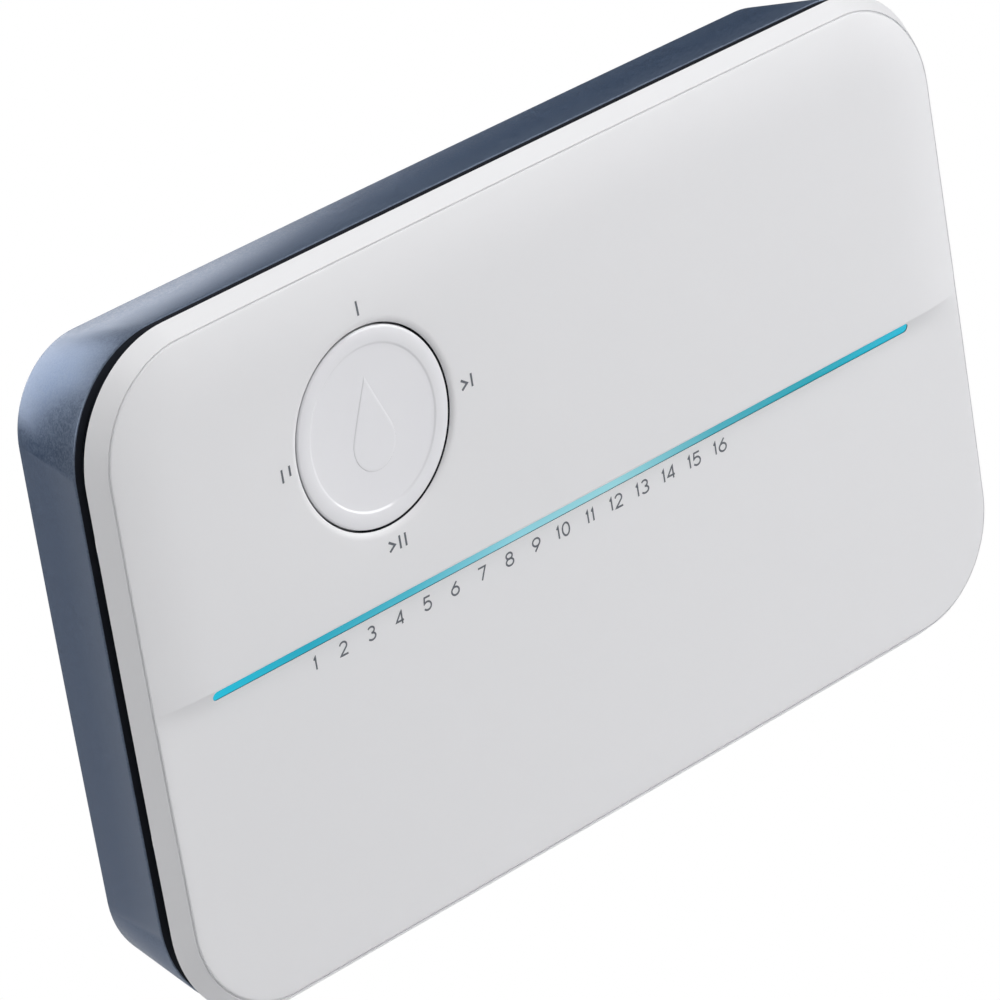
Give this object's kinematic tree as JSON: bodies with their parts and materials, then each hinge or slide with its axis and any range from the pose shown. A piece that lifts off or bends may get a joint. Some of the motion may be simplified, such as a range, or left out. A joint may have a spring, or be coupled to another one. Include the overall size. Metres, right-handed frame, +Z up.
{
  "type": "irrigation controller",
  "caption": "Wall-mounted irrigation controller with a lift-off white front cover, light bar, round four-way button, tapered rear housing and push-tab wire terminals.",
  "frame": {"origin": "centre of the flat rear face that rests on the wall", "axes": "+X to the right along the length, +Z up the wall, the front faces -Y and the wall is the plane Y = 0"},
  "size_m": [0.232, 0.036, 0.14],
  "materials": {
    "cover_white": "fine satin moulded white plastic",
    "button_white": "polished white plastic",
    "light_teal": "translucent light guide, lit teal",
    "magnet": "bright nickel plate",
    "dark_plastic": "fine-grained near-black plastic",
    "grey_plastic": "plain grey moulded plastic",
    "silicone": "matte silicone",
    "black_resin": "moulded black resin",
    "circuit_board": "green solder resist",
    "cable_film": "amber film",
    "steel": "zinc-plated steel",
    "housing_blue": "satin blue-grey with a fine metallic grain",
    "rubber": "matte black rubber",
    "capacitor_can": "sleeved aluminium can",
    "inductor_core": "ferrite",
    "fuse_yellow": "dipped resin",
    "block_white": "off-white moulded plastic",
    "tab_blue": "blue-grey moulded plastic"
  },
  "bodies": {
    "base": {"keypad_sheet": "silicone", "tact_switch_1": "black_resin", "tact_switch_2": "black_resin", "tact_switch_3": "black_resin", "tact_switch_4": "black_resin", "switch_board": "circuit_board", "switch_flex": "cable_film", "led_board": "circuit_board", "inner_chassis": "dark_plastic", "catch_plate_1": "steel", "catch_plate_2": "steel", "catch_plate_3": "steel", "catch_plate_4": "steel", "chassis_screw_1": "steel", "chassis_screw_2": "steel", "chassis_screw_3": "steel", "chassis_screw_4": "steel", "rear_housing": "housing_blue", "cable_grommet": "rubber", "main_board": "circuit_board", "board_screw_1": "steel", "board_screw_2": "steel", "radio_module": "steel", "processor_chip": "black_resin", "driver_chip_1": "black_resin", "driver_chip_2": "black_resin", "fuse": "fuse_yellow", "power_inductor": "inductor_core", "filter_capacitor": "capacitor_can", "power_jack": "black_resin", "ribbon_cable": "cable_film", "terminal_block_left": "block_white", "terminal_block_right": "block_white"},
    "cover": {"front_cover": "cover_white", "cover_magnet_1": "magnet", "cover_magnet_2": "magnet", "cover_magnet_3": "magnet", "cover_magnet_4": "magnet", "light_bar": "light_teal", "button_retainer": "dark_plastic"},
    "gimbal": {"button_gimbal": "grey_plastic"},
    "button": {"button_cap": "button_white"},
    "tab_01": {"terminal_tab_01": "tab_blue"},
    "tab_02": {"terminal_tab_02": "tab_blue"},
    "tab_03": {"terminal_tab_03": "tab_blue"},
    "tab_04": {"terminal_tab_04": "tab_blue"},
    "tab_05": {"terminal_tab_05": "tab_blue"},
    "tab_06": {"terminal_tab_06": "tab_blue"},
    "tab_07": {"terminal_tab_07": "tab_blue"},
    "tab_08": {"terminal_tab_08": "tab_blue"},
    "tab_09": {"terminal_tab_09": "grey_plastic"},
    "tab_10": {"terminal_tab_10": "tab_blue"},
    "tab_11": {"terminal_tab_11": "tab_blue"},
    "tab_12": {"terminal_tab_12": "tab_blue"},
    "tab_13": {"terminal_tab_13": "tab_blue"},
    "tab_14": {"terminal_tab_14": "tab_blue"},
    "tab_15": {"terminal_tab_15": "tab_blue"},
    "tab_16": {"terminal_tab_16": "tab_blue"},
    "tab_17": {"terminal_tab_17": "tab_blue"},
    "tab_18": {"terminal_tab_18": "grey_plastic"}
  },
  "joints": [
    {"name": "cover_lift", "type": "slide", "parent": "base", "child": "cover", "axis": [0, -1, 0], "range_m": [0, 0.06]},
    {"name": "button_tilt_up_down", "type": "hinge", "parent": "cover", "child": "gimbal", "pos_m": [-0.04935, -0.0306, 0.0333], "axis": [1, 0, 0], "range_deg": [-2, 2], "stiffness_Nm_per_rad": 0.05},
    {"name": "button_tilt_left_right", "type": "hinge", "parent": "gimbal", "child": "button", "pos_m": [-0.04935, -0.0306, 0.0333], "axis": [0, 0, 1], "range_deg": [-2, 2], "stiffness_Nm_per_rad": 0.05},
    {"name": "tab_01_press", "type": "slide", "parent": "base", "child": "tab_01", "axis": [0, 1, 0], "range_m": [0, 0.0025], "stiffness_N_per_m": 40},
    {"name": "tab_02_press", "type": "slide", "parent": "base", "child": "tab_02", "axis": [0, 1, 0], "range_m": [0, 0.0025], "stiffness_N_per_m": 40},
    {"name": "tab_03_press", "type": "slide", "parent": "base", "child": "tab_03", "axis": [0, 1, 0], "range_m": [0, 0.0025], "stiffness_N_per_m": 40},
    {"name": "tab_04_press", "type": "slide", "parent": "base", "child": "tab_04", "axis": [0, 1, 0], "range_m": [0, 0.0025], "stiffness_N_per_m": 40},
    {"name": "tab_05_press", "type": "slide", "parent": "base", "child": "tab_05", "axis": [0, 1, 0], "range_m": [0, 0.0025], "stiffness_N_per_m": 40},
    {"name": "tab_06_press", "type": "slide", "parent": "base", "child": "tab_06", "axis": [0, 1, 0], "range_m": [0, 0.0025], "stiffness_N_per_m": 40},
    {"name": "tab_07_press", "type": "slide", "parent": "base", "child": "tab_07", "axis": [0, 1, 0], "range_m": [0, 0.0025], "stiffness_N_per_m": 40},
    {"name": "tab_08_press", "type": "slide", "parent": "base", "child": "tab_08", "axis": [0, 1, 0], "range_m": [0, 0.0025], "stiffness_N_per_m": 40},
    {"name": "tab_09_press", "type": "slide", "parent": "base", "child": "tab_09", "axis": [0, 1, 0], "range_m": [0, 0.0025], "stiffness_N_per_m": 40},
    {"name": "tab_10_press", "type": "slide", "parent": "base", "child": "tab_10", "axis": [0, 1, 0], "range_m": [0, 0.0025], "stiffness_N_per_m": 40},
    {"name": "tab_11_press", "type": "slide", "parent": "base", "child": "tab_11", "axis": [0, 1, 0], "range_m": [0, 0.0025], "stiffness_N_per_m": 40},
    {"name": "tab_12_press", "type": "slide", "parent": "base", "child": "tab_12", "axis": [0, 1, 0], "range_m": [0, 0.0025], "stiffness_N_per_m": 40},
    {"name": "tab_13_press", "type": "slide", "parent": "base", "child": "tab_13", "axis": [0, 1, 0], "range_m": [0, 0.0025], "stiffness_N_per_m": 40},
    {"name": "tab_14_press", "type": "slide", "parent": "base", "child": "tab_14", "axis": [0, 1, 0], "range_m": [0, 0.0025], "stiffness_N_per_m": 40},
    {"name": "tab_15_press", "type": "slide", "parent": "base", "child": "tab_15", "axis": [0, 1, 0], "range_m": [0, 0.0025], "stiffness_N_per_m": 40},
    {"name": "tab_16_press", "type": "slide", "parent": "base", "child": "tab_16", "axis": [0, 1, 0], "range_m": [0, 0.0025], "stiffness_N_per_m": 40},
    {"name": "tab_17_press", "type": "slide", "parent": "base", "child": "tab_17", "axis": [0, 1, 0], "range_m": [0, 0.0025], "stiffness_N_per_m": 40},
    {"name": "tab_18_press", "type": "slide", "parent": "base", "child": "tab_18", "axis": [0, 1, 0], "range_m": [0, 0.0025], "stiffness_N_per_m": 40}
  ]
}
